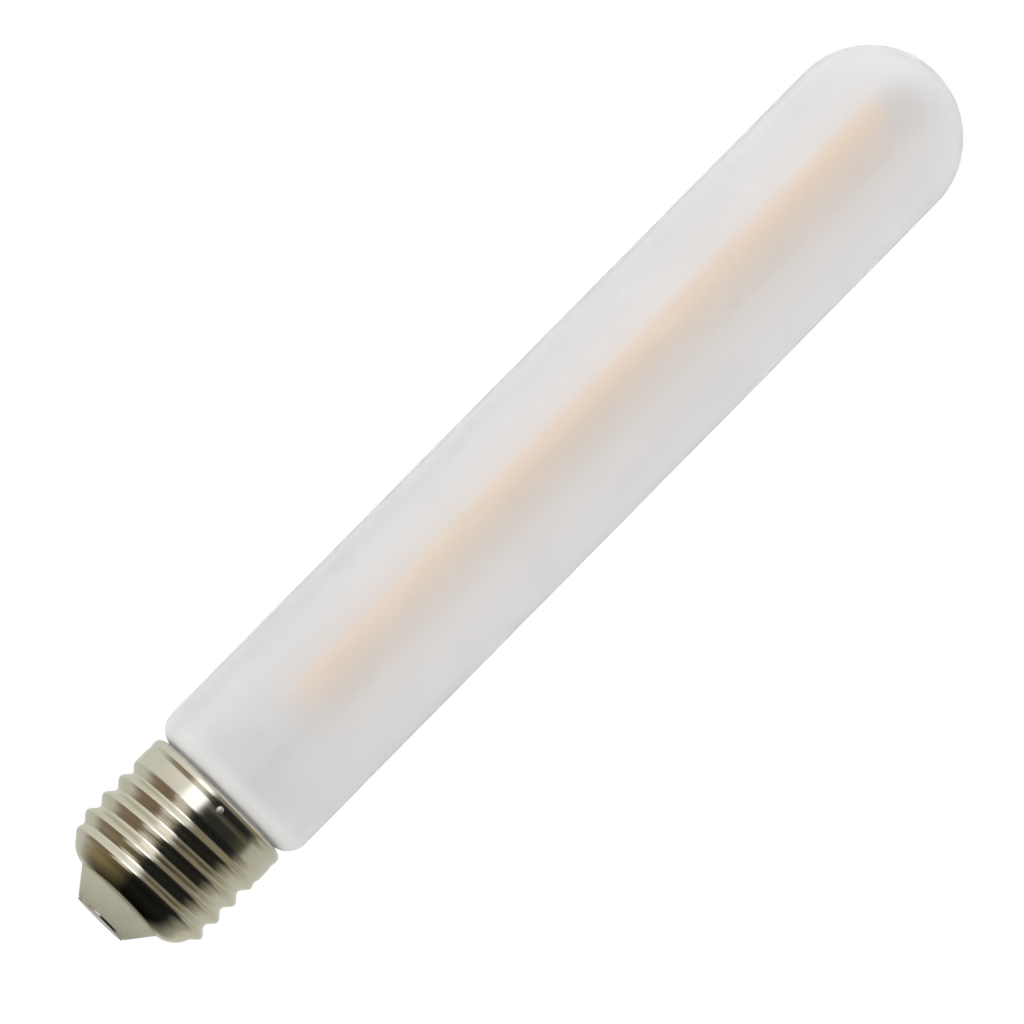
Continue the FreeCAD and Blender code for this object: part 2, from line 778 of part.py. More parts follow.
def make_coat(name, x):
    """Phosphor coat all round the strip, with softened long edges."""
    body = new_body(f"{name}_coat")
    sketch = new_sketch(body, "section", "XY_Plane")
    rounded_rectangle(sketch, size("coat_depth"), size("coat_width"), size("coat_corner"))
    rectangle(sketch, "0", "0", size("strip_thickness"), size("strip_width"))
    pad(body, sketch, f"({COAT_TOP} - {COAT_FOOT})")
    place(body, x=x, z=COAT_FOOT)
    return body


def make_clip(name, end, x, z, turn):
    """Metal end clip; its slot takes the end of the strip."""
    body = new_body(f"{name}_{end}_clip")
    sketch = new_sketch(body, "section", "XY_Plane")
    rectangle(sketch, "0", "0", size("clip_depth"), size("clip_width"))
    pad(body, sketch, size("clip_length"))
    slot = new_sketch(body, "slot", "XY_Plane")
    rectangle(slot, "0", "0", size("strip_thickness"), size("strip_width"))
    cut(body, slot, size("clip_grip"), upward=True)
    place(body, x=x, z=z, axis=V(1, 0, 0), turn=turn)
    return body


def make_filament(number_text, side):
    """One long strip with its coat and its two end clips."""
    name = f"filament_{number_text}"
    x = side + STRIP_X
    return [
        make_substrate(name, x),
        make_coat(name, x),
        make_clip(name, "lower", x, COAT_FOOT, "180"),
        make_clip(name, "upper", x, COAT_TOP, "0"),
    ]


def make_driver_board():
    """Board that stands upright on the insulator's flange."""
    body = new_body("driver_board")
    sketch = new_sketch(body, "face", "XZ_Plane")
    middle = f"(({INSULATOR_TOP} + {BOARD_TOP}) / 2)"
    rectangle(sketch, "0", middle, size("board_width"), f"({BOARD_TOP} - {INSULATOR_TOP})")
    pad(body, sketch, size("board_thickness"), both_ways=True)
    return body


def make_capacitor():
    """Round can with its groove and two pins; the local Z axis points away from the board."""
    body = new_body("capacitor")
    can = size("capacitor_dia / 2")
    edge = size("capacitor_edge")
    groove_foot = size("clearance + capacitor_groove_height")
    groove_head = size("clearance + capacitor_groove_height + capacitor_groove_width")
    foot = size("clearance")
    head = size("clearance + capacitor_length")
    revolve(body, [
        ("0", foot),
        (f"({can} - {edge})", foot),
        (can, f"({foot} + {edge})", edge, 1),
        (can, groove_foot),
        (can, groove_head, size("capacitor_groove_radius"), -1),
        (can, f"({head} - {edge})"),
        (f"({can} - {edge})", head, edge, 1),
        ("0", head),
    ])
    pins = new_sketch(body, "pins", "XY_Plane")
    for side in ("", "-"):
        circle(pins, side + size("capacitor_pin_spacing / 2"), "0", size("capacitor_pin_dia"))
    pad(body, pins, size("clearance + capacitor_edge"))
    place(
        body,
        x=size("capacitor_offset"),
        y=size("-board_thickness / 2"),
        z=f"({INSULATOR_TOP} + " + size("capacitor_height") + ")",
        axis=V(1, 0, 0),
        turn="90",
    )
    return body


def make_fuse_resistor():
    """Round body that lies along the board on a wire bent back to it at both ends.

    Its own Z axis lies along the board's width, and its X axis points to the board.
    """
    body = new_body("fuse_resistor")
    standoff = size("fuse_dia / 2 + clearance")
    half = size("fuse_length / 2 + fuse_pin_reach")
    corners = [(standoff, f"-{half}"), ("0", f"-{half}"), ("0", half), (standoff, half)]
    sweep(body, corners, size("fuse_pin_bend"), size("fuse_pin_dia"), "YZ_Plane")
    sketch = new_sketch(body, "profile", "XZ_Plane")
    body_r, body_half = size("fuse_dia / 2"), size("fuse_length / 2")
    waist = size("fuse_waist_dia / 2")
    end = size("fuse_length / 2 - fuse_end_length")
    neck = size("fuse_length / 2 - fuse_end_length - fuse_end_taper")
    outline(sketch, [
        ("0", f"-{body_half}"),
        (body_r, f"-{body_half}"),
        (body_r, f"-{end}"),
        (waist, f"-{neck}"),
        (waist, neck),
        (body_r, end),
        (body_r, body_half),
        ("0", body_half),
    ])
    turned = body.newObject("PartDesign::Revolution", "fuse_resistor_turned")
    turned.Profile = sketch
    turned.ReferenceAxis = (sketch, ["V_Axis"])
    turned.Angle = 360
    place(
        body,
        x="-" + size("fuse_offset"),
        y=f"(-{standoff} - " + size("board_thickness / 2") + ")",
        z=f"({INSULATOR_TOP} + " + size("fuse_height") + ")",
        axis=V(1, 1, 1),
        turn="120",
    )
    return body


def make_package(label, kind, side, leads):
    """Moulded package with leads down both long sides; local Z points away from the board."""
    body = new_body(label)
    length, width = size(f"{kind}_length"), size(f"{kind}_width")
    height, pitch = size(f"{kind}_height"), size(f"{kind}_lead_pitch")
    standoff, metal = size("package_standoff"), size("package_lead_thickness")
    foot_sketch = new_sketch(body, "block", "XY_Plane", standoff)
    rectangle(foot_sketch, "0", "0", length, width)
    block = pad(body, foot_sketch, f"({height} - {standoff})")
    doc.recompute()
    top = max(range(len(body.Shape.Faces)), key=lambda n: body.Shape.Faces[n].CenterOfMass.z)
    bevel = body.newObject("PartDesign::Chamfer", f"{label}_bevel")
    bevel.Base = (block, [f"Face{top + 1}"])
    bevel.setExpression("Size", size("package_chamfer"))
    first = f"(-({leads} - 1) * {pitch} / 2 - " + size("package_lead_width / 2") + ")"
    lead_sketch = new_sketch(body, "leads", "YZ_Plane", first)
    middle = f"({height} / 2)"
    side_y = f"({width} / 2)"
    out = f"({side_y} + " + size("package_lead_reach - package_foot") + ")"
    tip = f"({side_y} + " + size("package_lead_reach") + ")"
    for mirror, turn in (("", 1), ("-", -1)):
        lead = [
            (mirror + side_y, middle),
            (mirror + f"({out} - {metal})", middle),
            (mirror + f"({out} - {metal})", "0"),
            (mirror + tip, "0"),
            (mirror + tip, metal),
            (mirror + out, metal),
            (mirror + out, f"({middle} + {metal})"),
            (mirror + side_y, f"({middle} + {metal})"),
        ]
        outline(lead_sketch, lead)
    lead_pad = pad(body, lead_sketch, size("package_lead_width"))
    row = body.newObject("PartDesign::LinearPattern", f"{label}_row")
    row.Originals = [lead_pad]
    row.Direction = (plane(body, "X_Axis"), [""])
    row.setExpression("Length", f"({leads} - 1) * {pitch}")
    row.Occurrences = leads
    body.Tip = row
    place(
        body,
        x=side + size("package_offset"),
        y=size("board_thickness / 2"),
        z=f"({INSULATOR_TOP} + " + size("package_height") + ")",
        axis=V(1, 0, 0),
        turn="-90",
    )
    return body


nodes = [
    make_envelope(),
    make_screw_shell(),
    make_insulator(),
    make_centre_contact(),
    make_contact_lead(),
    make_basing_cement(),
    make_side_solder(),
    make_shell_lead(),
    make_stem(),
    make_exhaust_tube(),
    make_support_rod(),
    make_lead_wire("1", ""),
    make_lead_wire("2", "-"),
    make_bridge_wire(),
    *make_filament("1", ""),
    *make_filament("2", "-"),
    make_driver_board(),
    make_capacitor(),
    make_fuse_resistor(),
    make_package("bridge_rectifier", "rectifier", "-", 2),
    make_package("driver_chip", "chip", "", 4),
]
doc.recompute()

for item in doc.Objects:
    if {"Invalid", "Error"} & set(item.State):
        raise RuntimeError(f"{item.Name} failed: {item.State}")
for node in nodes:
    if node.Shape.isNull() or not node.Shape.isValid():
        raise RuntimeError(f"{node.Label} has no valid shape")

os.makedirs("parts", exist_ok=True)
for node in nodes:
    node.Shape.exportStep(f"parts/{node.Label}.step")
    print(f"{node.Label}: {len(node.Shape.Solids)} solid, {node.Shape.Volume:.2f} mm3")
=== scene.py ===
"""Long frosted tubular bulb: its finishes, its solder bead and its studio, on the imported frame.

Sizes are written in millimetres and become metres where they turn into vertices or texture scales.
"""

import math

import bpy
from mathutils import Matrix, Vector, noise


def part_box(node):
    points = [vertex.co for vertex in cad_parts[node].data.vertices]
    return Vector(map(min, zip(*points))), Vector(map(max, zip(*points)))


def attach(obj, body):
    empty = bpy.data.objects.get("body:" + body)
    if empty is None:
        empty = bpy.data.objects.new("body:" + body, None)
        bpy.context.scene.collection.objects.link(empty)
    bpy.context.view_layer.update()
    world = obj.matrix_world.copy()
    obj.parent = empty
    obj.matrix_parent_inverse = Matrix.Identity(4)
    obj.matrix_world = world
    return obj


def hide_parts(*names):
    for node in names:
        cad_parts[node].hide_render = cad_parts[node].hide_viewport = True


bl_info = {
    "name": "Tubular bulb",
    "version": (1, 0, 0),
    "blender": (4, 5, 0),
    "location": "3D View > Sidebar > Bulb",
    "description": "Dresses a long frosted bulb with a screw cap, on a pale studio floor",
    "category": "Add Mesh",
}

MM = 0.001
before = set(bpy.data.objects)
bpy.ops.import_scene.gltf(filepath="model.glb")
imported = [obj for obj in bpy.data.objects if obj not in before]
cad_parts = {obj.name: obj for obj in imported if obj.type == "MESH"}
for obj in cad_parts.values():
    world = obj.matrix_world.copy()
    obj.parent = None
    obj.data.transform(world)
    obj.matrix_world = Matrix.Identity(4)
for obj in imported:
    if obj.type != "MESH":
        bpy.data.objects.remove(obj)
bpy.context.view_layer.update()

# The solder bead: the box of its solid, how far its drop stands out, its shank's width, the share
# of its width and height that wrinkles and slumping take away, and how finely it is divided
BEAD_LOW, BEAD_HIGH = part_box("side_solder")
BEAD_DOME = 0.4 * MM
BEAD_SHANK = 0.7 * MM
BEAD_WRINKLE_ACROSS = 0.06
BEAD_WRINKLE_OUT = 0.05
BEAD_SLUMP = 0.06
BEAD_TURNS = 40
BEAD_ROWS = 9

# Where the camera stands, from +X round the bulb's axis and above its middle, how far the bulb
# leans in the picture, and the point of the bulb that the picture's middle shows
CAMERA_POLAR = math.radians(209.3)
CAMERA_RISE = math.radians(-3.2)
PICTURE_LEAN = math.radians(45.4)
PICTURE_PIXELS = 1024
PIXELS_PER_MM = 6.54
AIM_HEIGHT = 88.69 * MM
AIM_ASIDE = 1.15 * MM

GROUND = "#FFFFFF"

# The floor lies a hair under the contact, so that the two never share a plane. The bulb's shade
# shows in it up to FLOOR_SHADE from the axis, and past FLOOR_FADE it is as white as the ground.
FLOOR_RADIUS = 0.6
FLOOR_SIDES = 96
FLOOR_DROP = 0.2 * MM
FLOOR_SHADE = 0.05
FLOOR_FADE = 0.3

# Soft lamps: degrees right of the camera, height, distance from the axis, width and length, all
# in metres, and the share of their strength. Polished metal shows the key lamp alone.
LAMP_AIM = Vector((0, 0, 0.09))
KEY_LAMP = ("key_lamp", -24, 0.26, 0.6, (0.34, 0.6), 1.0)
FILL_LAMPS = [
    ("top_lamp", -100, 0.85, 0.25, (0.8, 0.8), 1.0),
    ("side_lamp", 125, 0.3, 0.7, (0.5, 0.6), 0.85),
    ("edge_lamp", -118, 0.3, 0.7, (0.5, 0.6), 1.0),
]

# What polished metal sees round the studio, by degrees right of the camera: a soft light at the
# left, a dark room in front and at the right, and pale cards all round behind. Level is at the
# bulb's own height, low is the floor round it, near is the floor close under the cap and high is
# the ceiling.
STUDIO_LEVEL = [
    (-180, "#D8D9D0"),
    (-104, "#E3E7DE"),
    (-62, "#F6F2EA"),
    (-42, "#FFFFFF"),
    (-12, "#FFFFFF"),
    (-6, "#1C1E1D"),
    (50, "#26271F"),
    (76, "#4C4D3C"),
    (86, "#C4C5B8"),
    (180, "#D8D9D0"),
]
STUDIO_LOW = [
    (-180, "#D1D2C6"),
    (-110, "#CFCFC6"),
    (-86, "#8E7E6C"),
    (-46, "#7E6C58"),
    (-38, "#DDD7CC"),
    (-22, "#DDD7CC"),
    (-10, "#1A1B1A"),
    (66, "#1E1F1D"),
    (88, "#9D9A8B"),
    (112, "#CFCEC2"),
    (180, "#D1D2C6"),
]
STUDIO_NEAR = [
    (-180, "#D1D2C6"),
    (-100, "#BDBBAE"),
    (-72, "#94876C"),
    (-46, "#877A58"),
    (-20, "#5F583F"),
    (-6, "#1B1D1A"),
    (60, "#1B1D1A"),
    (88, "#9D9A8B"),
    (180, "#D1D2C6"),
]
STUDIO_HIGH = [
    (-180, "#D8D9CD"),
    (-104, "#E3E4D4"),
    (-66, "#F2F3E4"),
    (-54, "#FFFFFF"),
    (-20, "#FFFFFF"),
    (-8, "#857D6E"),
    (90, "#8F8871"),
    (130, "#C1C1B4"),
    (180, "#D8D9CD"),
]

# Share of the light that the frosted tube lets straight through, by height in millimetres: the
# dusting inside lies thicker in the heel, where it looks milky, and thins out up the tube
CLEARNESS = [(24.5, 0.05), (28.0, 0.3), (30.4, 0.56), (32.4, 0.6), (39.8, 0.65), (50.0, 0.79)]


def linear(code):
    """An sRGB hex colour as linear red, green and blue."""
    shares = [int(code[i : i + 2], 16) / 255 for i in (1, 3, 5)]
    return tuple(s / 12.92 if s <= 0.04045 else ((s + 0.055) / 1.055) ** 2.4 for s in shares)


def rgba(colour):
    """The same colour with full alpha, as a colour socket takes it."""
    return (*colour[:3], 1.0)


def darker(colour, shares):
    """The colour with its red, green and blue each brought down to a share."""
    return [part * share for part, share in zip(colour, shares)]


def per_metre(size_mm):
    """Texture scale at which one feature is size_mm wide."""
    return 1 / (size_mm * MM)


def add(tree, kind, inputs=None, **settings):
    """Adds a node with its settings; an input takes a value or another node's output."""
    made = tree.nodes.new(kind)
    for name, value in settings.items():
        setattr(made, name, value)
    for socket, value in (inputs or {}).items():
        if isinstance(value, bpy.types.NodeSocket):
            tree.links.new(value, made.inputs[socket])
        else:
            made.inputs[socket].default_value = value
    return made


def new_material(name):
    """An empty material, its node tree and the position on the object in metres."""
    material = bpy.data.materials.new(name)
    material.use_nodes = True
    tree = material.node_tree
    tree.nodes.clear()
    return material, tree, add(tree, "ShaderNodeTexCoord").outputs["Object"]


def mottled(tree, blotches, light, dark, depth=1.0):
    """Tone that drifts from light to dark with a noise round a half; depth is how far it goes."""
    share = add(
        tree,
        "ShaderNodeMapRange",
        {"Value": blotches, "From Min": 0.25, "From Max": 0.75, "To Max": depth},
    )
    tones = {"Factor": share.outputs["Result"], 6: rgba(light), 7: rgba(dark)}
    return add(tree, "ShaderNodeMix", tones, data_type="RGBA").outputs[2]


def streaked(tree, vector, widths_mm, detail=3.0):
    """Noise drawn out to its own width in millimetres along each axis of the vector."""
    scaled = add(
        tree,
        "ShaderNodeVectorMath",
        {0: vector, 1: [per_metre(width) for width in widths_mm]},
        operation="MULTIPLY",
    )
    inputs = {"Vector": scaled.outputs[0], "Scale": 1.0, "Detail": detail, "Roughness": 0.55}
    return add(tree, "ShaderNodeTexNoise", inputs).outputs["Fac"]


def toned(tree, value, stops):
    """Tone that follows a value through the stops, which are (value, linear colour)."""
    low, high = stops[0][0], stops[-1][0]
    share = add(tree, "ShaderNodeMapRange", {"Value": value, "From Min": low, "From Max": high})
    made = add(tree, "ShaderNodeValToRGB", {"Fac": share.outputs["Result"]})
    elements = made.color_ramp.elements
    while len(elements) < len(stops):
        elements.new(1.0)
    for element, (at, colour) in zip(elements, stops):
        element.position = (at - low) / (high - low)
        element.color = rgba(colour)
    return made.outputs["Color"]


def unrolled(tree, place, radius_mm):
    """Position unrolled round the bulb's axis: arc length, distance from the axis, height."""
    parts = add(tree, "ShaderNodeSeparateXYZ", {"Vector": place})
    turn = add(
        tree,
        "ShaderNodeMath",
        {0: parts.outputs["Y"], 1: parts.outputs["X"]},
        operation="ARCTAN2",
    )
    arc = add(tree, "ShaderNodeMath", {0: turn.outputs[0], 1: radius_mm * MM}, operation="MULTIPLY")
    level = add(tree, "ShaderNodeVectorMath", {0: place, 1: (1.0, 1.0, 0.0)}, operation="MULTIPLY")
    length = add(tree, "ShaderNodeVectorMath", {0: level.outputs[0]}, operation="LENGTH")
    joined = add(
        tree,
        "ShaderNodeCombineXYZ",
        {"X": arc.outputs[0], "Y": length.outputs["Value"], "Z": parts.outputs["Z"]},
    )
    return joined.outputs[0]


class BulbSizes(bpy.types.PropertyGroup):
    """Sizes of the piece that the scene adds, and of its light."""

    bead_diameter: bpy.props.FloatProperty(
        name="Solder bead",
        description="Width of the solder bead on the cap's collar",
        default=BEAD_HIGH.z - BEAD_LOW.z,
        min=0.0005,
        max=0.003,
        precision=5,
        subtype="DISTANCE",
        unit="LENGTH",
    )
    key_strength: bpy.props.FloatProperty(
        name="Key light",
        description="Brightness of the soft light at the left, against the white ground",
        default=0.8,
        min=0.0,
        max=5.0,
    )
    fill_strength: bpy.props.FloatProperty(
        name="Fill light",
        description="Brightness of the overhead, side and edge lights, against the white ground",
        default=1.0,
        min=0.0,
        max=5.0,
    )
    room_strength: bpy.props.FloatProperty(
        name="Room light",
        description="Brightness of the light from all round, against the white ground",
        default=0.92,
        min=0.0,
        max=5.0,
    )
    camera_distance: bpy.props.FloatProperty(
        name="Camera distance",
        description="From the bulb's axis to the camera",
        default=6.0,
        min=0.5,
        max=15.0,
        subtype="DISTANCE",
        unit="LENGTH",
    )


class BulbColours(bpy.types.PropertyGroup):
    """Colours of the bulb's finishes."""

    glass: bpy.props.FloatVectorProperty(
        name="Frosted glass",
        description="Tint of the light that comes through the envelope",
        default=linear("#FBFBFC"),
        min=0.0,
        max=1.0,
        size=3,
        subtype="COLOR",
    )
    nickel: bpy.props.FloatVectorProperty(
        name="Nickel plate",
        description="Colour of the screw shell",
        default=linear("#DCD9CF"),
        min=0.0,
        max=1.0,
        size=3,
        subtype="COLOR",
    )
    insulator: bpy.props.FloatVectorProperty(
        name="Insulator",
        description="Colour of the moulded cone under the shell",
        default=linear("#C9C7B4"),
        min=0.0,
        max=1.0,
        size=3,
        subtype="COLOR",
    )
    phosphor: bpy.props.FloatVectorProperty(
        name="Phosphor coat",
        description="Colour of the coat on the strip in front",
        default=linear("#E8A530"),
        min=0.0,
        max=1.0,
        size=3,
        subtype="COLOR",
    )
    # painted shade: the coat behind is given a paler colour than the one in front, standing in for
    # the shadow it lies in further back
    phosphor_behind_painted_shade: bpy.props.FloatVectorProperty(
        name="Phosphor coat behind",
        description="Colour of the coat on the strip behind",
        default=linear("#EFCF9E"),
        min=0.0,
        max=1.0,
        size=3,
        subtype="COLOR",
    )
    floor: bpy.props.FloatVectorProperty(
        name="Floor",
        description="Colour of the studio floor",
        default=linear("#F0EFEC"),
        min=0.0,
        max=1.0,
        size=3,
        subtype="COLOR",
    )


def frosted_glass(tint):
    """Soda-lime tube, etched and dusted inside: it scatters light, and its outside is glossy."""
    material, tree, place = new_material("soda_lime_glass_etched")
    height = add(tree, "ShaderNodeSeparateXYZ", {"Vector": place}).outputs["Z"]
    dusting = toned(tree, height, [(level * MM, (share,) * 3) for level, share in CLEARNESS])
    # drawing the tube leaves faint lines along it, 3 mm to 6 mm apart
    lines = add(
        tree,
        "ShaderNodeMapRange",
        {
            "Value": streaked(tree, place, (4.5, 4.5, 120.0), 1.0),
            "From Min": 0.25,
            "From Max": 0.75,
            "To Min": -0.07,
            "To Max": 0.07,
        },
    )
    clearness = add(
        tree,
        "ShaderNodeMath",
        {0: lines.outputs["Result"], 1: dusting},
        operation="ADD",
    )
    drift = add(
        tree,
        "ShaderNodeTexNoise",
        {"Vector": place, "Scale": per_metre(18.0), "Detail": 1.0},
    )
    # an etched pit is about 0.02 mm wide, too fine to show, so the grain is drawn at 0.35 mm
    grain = add(tree, "ShaderNodeTexNoise", {"Vector": place, "Scale": per_metre(0.35)})
    relief = {"Height": grain.outputs["Fac"], "Distance": 0.01 * MM, "Strength": 0.25}
    shader = add(
        tree,
        "ShaderNodeBsdfPrincipled",
        {
            "Base Color": mottled(tree, drift.outputs["Fac"], tint, darker(tint, (0.985,) * 3)),
            "Roughness": 0.53,
            "IOR": 1.52,
            "Transmission Weight": clearness.outputs[0],
            "Coat Weight": 0.1,
            "Coat Roughness": 0.12,
            "Coat IOR": 1.5,
            "Normal": add(tree, "ShaderNodeBump", relief).outputs["Normal"],
        },
    )
    add(tree, "ShaderNodeOutputMaterial", {"Surface": shader.outputs[0]})
    return material


def stem_glass():
    """Drawn lead-free glass: smooth, with a brown-grey tint that is painted shade, so the stem
    shows darker through the frosted tube.
    """
    material, tree, place = new_material("lead_free_glass_drawn")
    wave = streaked(tree, unrolled(tree, place, 5.0), (9.0, 1.4, 1.4), 1.0)
    relief = {"Height": wave, "Distance": 0.05 * MM, "Strength": 0.3}
    shader = add(
        tree,
        "ShaderNodeBsdfPrincipled",
        {
            # painted shade: the brown-grey tint darkens the stem so that its shade shows through
            # the frosted tube
            "Base Color": mottled(tree, wave, linear("#D6CBC0"), linear("#C9BEB3")),
            "Roughness": 0.04,
            "IOR": 1.53,
            "Transmission Weight": 0.8,
            "Normal": add(tree, "ShaderNodeBump", relief).outputs["Normal"],
        },
    )
    add(tree, "ShaderNodeOutputMaterial", {"Surface": shader.outputs[0]})
    return material


def plated_nickel(colour):
    """Bright nickel on rolled brass: a warm mirror with faint rolling marks and dull stains."""
    material, tree, place = new_material("nickel_plated_brass_rolled")
    # rolling marks are about 0.03 mm apart, too fine to show, so they are drawn 0.12 mm apart
    marks = streaked(tree, unrolled(tree, place, 13.0), (7.0, 0.12, 0.12))
    satin = add(
        tree,
        "ShaderNodeMapRange",
        {"Value": marks, "From Min": 0.25, "From Max": 0.75, "To Min": 0.15, "To Max": 0.24},
    )
    stain = add(
        tree,
        "ShaderNodeTexNoise",
        {"Vector": place, "Scale": per_metre(4.0), "Detail": 3.0},
    )
    dull = darker(colour, (0.90, 0.88, 0.80))
    relief = {"Height": marks, "Distance": 0.003 * MM, "Strength": 0.2}
    shader = add(
        tree,
        "ShaderNodeBsdfPrincipled",
        {
            "Base Color": mottled(tree, stain.outputs["Fac"], colour, dull, 0.8),
            "Metallic": 1.0,
            "Roughness": satin.outputs["Result"],
            "Normal": add(tree, "ShaderNodeBump", relief).outputs["Normal"],
        },
    )
    add(tree, "ShaderNodeOutputMaterial", {"Surface": shader.outputs[0]})
    return material


def stamped_nickel():
    """Nickel on a stamped brass disc: duller than the shell, with fine turning rings and wear."""
    material, tree, place = new_material("nickel_plated_brass_stamped")
    parts = add(tree, "ShaderNodeSeparateXYZ", {"Vector": unrolled(tree, place, 4.7)})
    rings = add(
        tree,
        "ShaderNodeCombineXYZ",
        {"X": parts.outputs["Y"], "Y": parts.outputs["Z"]},
    )
    # stamping rings are about 0.05 mm apart, drawn at 0.2 mm to show
    marks = add(
        tree,
        "ShaderNodeTexNoise",
        {"Vector": rings.outputs[0], "Scale": per_metre(0.2), "Detail": 3.0},
    )
    wear = add(
        tree,
        "ShaderNodeTexNoise",
        {"Vector": place, "Scale": per_metre(1.8), "Detail": 3.0},
    ).outputs["Fac"]
    satin = add(
        tree,
        "ShaderNodeMapRange",
        {"Value": wear, "From Min": 0.25, "From Max": 0.75, "To Min": 0.16, "To Max": 0.3},
    )
    relief = {"Height": marks.outputs["Fac"], "Distance": 0.01 * MM, "Strength": 0.4}
    shader = add(
        tree,
        "ShaderNodeBsdfPrincipled",
        {
            "Base Color": mottled(tree, wear, linear("#CECBC2"), linear("#AFA997")),
            "Metallic": 1.0,
            "Roughness": satin.outputs["Result"],
            "Normal": add(tree, "ShaderNodeBump", relief).outputs["Normal"],
        },
    )
    add(tree, "ShaderNodeOutputMaterial", {"Surface": shader.outputs[0]})
    return material


def moulded_plastic(colour):
    """Moulded polyester cone: matt, with a faint flow cloud and its mould's fine spark texture."""
    material, tree, place = new_material("polyester_moulded_matt")
    flow = add(tree, "ShaderNodeTexNoise", {"Vector": place, "Scale": per_metre(3.5)})
    # the mould's spark texture is about 0.04 mm wide, drawn at 0.18 mm to show
    texture = {"Vector": place, "Scale": per_metre(0.18)}
    spark = add(tree, "ShaderNodeTexNoise", texture).outputs["Fac"]
    matt = add(
        tree,
        "ShaderNodeMapRange",
        {"Value": spark, "From Min": 0.25, "From Max": 0.75, "To Min": 0.48, "To Max": 0.62},
    )
    relief = {"Height": spark, "Distance": 0.02 * MM, "Strength": 0.35}
    shader = add(
        tree,
        "ShaderNodeBsdfPrincipled",
        {
            "Base Color": mottled(tree, flow.outputs["Fac"], colour, darker(colour, (0.93,) * 3)),
            "Roughness": matt.outputs["Result"],
            "IOR": 1.55,
            "Normal": add(tree, "ShaderNodeBump", relief).outputs["Normal"],
        },
    )
    add(tree, "ShaderNodeOutputMaterial", {"Surface": shader.outputs[0]})
    return material


def baked_cement():
    """Phenolic cement, baked: chalky, pitted, light brown where it creeps out of the rim."""
    material, tree, place = new_material("basing_cement_baked")
    chalk = add(
        tree,
        "ShaderNodeTexNoise",
        {"Vector": place, "Scale": per_metre(0.8), "Detail": 4.0, "Roughness": 0.65},
    )
    relief = {"Height": chalk.outputs["Fac"], "Distance": 0.12 * MM, "Strength": 0.6}
    shader = add(
        tree,
        "ShaderNodeBsdfPrincipled",
        {
            "Base Color": mottled(tree, chalk.outputs["Fac"], linear("#E4DED0"), linear("#CBC3B0")),
            "Roughness": 0.9,
            "IOR": 1.5,
            "Normal": add(tree, "ShaderNodeBump", relief).outputs["Normal"],
        },
    )
    add(tree, "ShaderNodeOutputMaterial", {"Surface": shader.outputs[0]})
    return material


def tin_solder():
    """Tin solder, frozen from a bead: pale satin skin with shallow wrinkles and a trace of flux."""
    material, tree, place = new_material("tin_solder_frozen")
    wrinkle = add(
        tree,
        "ShaderNodeTexNoise",
        {"Vector": place, "Scale": per_metre(0.5), "Detail": 3.0},
    ).outputs["Fac"]
    satin = add(
        tree,
        "ShaderNodeMapRange",
        {"Value": wrinkle, "From Min": 0.25, "From Max": 0.75, "To Min": 0.45, "To Max": 0.7},
    )
    relief = {"Height": wrinkle, "Distance": 0.05 * MM, "Strength": 0.5}
    shader = add(
        tree,
        "ShaderNodeBsdfPrincipled",
        {
            "Base Color": mottled(tree, wrinkle, linear("#F4F3EE"), linear("#D9D6CC")),
            "Metallic": 1.0,
            "Roughness": satin.outputs["Result"],
            "Normal": add(tree, "ShaderNodeBump", relief).outputs["Normal"],
        },
    )
    add(tree, "ShaderNodeOutputMaterial", {"Surface": shader.outputs[0]})
    return material


def lined_metal(name, fresh, aged):
    """Drawn wire or pressed strip: fine lines along it from the die, and a thin oxide bloom."""
    material, tree, place = new_material(name)
    bloom = add(
        tree,
        "ShaderNodeTexNoise",
        {"Vector": place, "Scale": per_metre(1.2), "Detail": 3.0},
    ).outputs["Fac"]
    satin = add(
        tree,
        "ShaderNodeMapRange",
        {"Value": bloom, "From Min": 0.25, "From Max": 0.75, "To Min": 0.24, "To Max": 0.42},
    )
    # die lines are about 0.01 mm apart, drawn at 0.08 mm to show
    lines = streaked(tree, place, (0.08, 0.08, 6.0), 2.0)
    relief = {"Height": lines, "Distance": 0.01 * MM, "Strength": 0.3}
    shader = add(
        tree,
        "ShaderNodeBsdfPrincipled",
        {
            "Base Color": mottled(tree, bloom, linear(fresh), linear(aged)),
            "Metallic": 1.0,
            "Roughness": satin.outputs["Result"],
            "Normal": add(tree, "ShaderNodeBump", relief).outputs["Normal"],
        },
    )
    add(tree, "ShaderNodeOutputMaterial", {"Surface": shader.outputs[0]})
    return material


